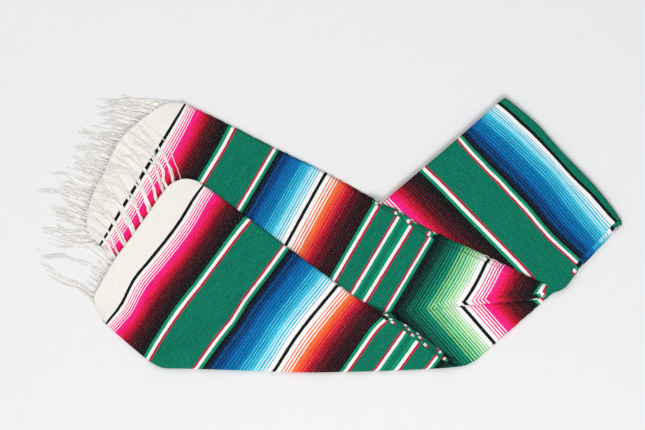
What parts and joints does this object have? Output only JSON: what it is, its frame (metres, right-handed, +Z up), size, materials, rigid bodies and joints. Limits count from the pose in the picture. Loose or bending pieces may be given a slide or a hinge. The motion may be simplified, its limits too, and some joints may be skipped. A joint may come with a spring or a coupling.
{
  "type": "folded serape blanket",
  "caption": "Striped woven serape with fringed ends, folded to a strip, doubled and turned, lying flat as a blanket, wrap or prop.",
  "frame": {"origin": "middle of the whole piece's box, on the surface that it lies on", "axes": "+Z up from the surface, +X along the longest side, towards the turned arm and away from the fringe, +Y away from the bottom fold"},
  "size_m": [1.1083, 0.524, 0.0256],
  "materials": {
    "striped_weave": "matte weft-faced weave in green with shaded bands of pink to black, blue to white, orange to black and lime to black, and thin white and crimson lines",
    "striped_weave_edges": "the same matte striped weave, seen at the edges of the lower plies",
    "fringe_yarn": "matte off-white cotton warp yarn, loosely twisted, slightly fuzzy"
  },
  "bodies": {
    "root": {"front_run": "striped_weave", "back_run": "striped_weave", "turned_run": "striped_weave", "under_run": "striped_weave", "hidden_layers": "striped_weave_edges", "front_fringe": "fringe_yarn", "back_fringe": "fringe_yarn"}
  },
  "joints": []
}
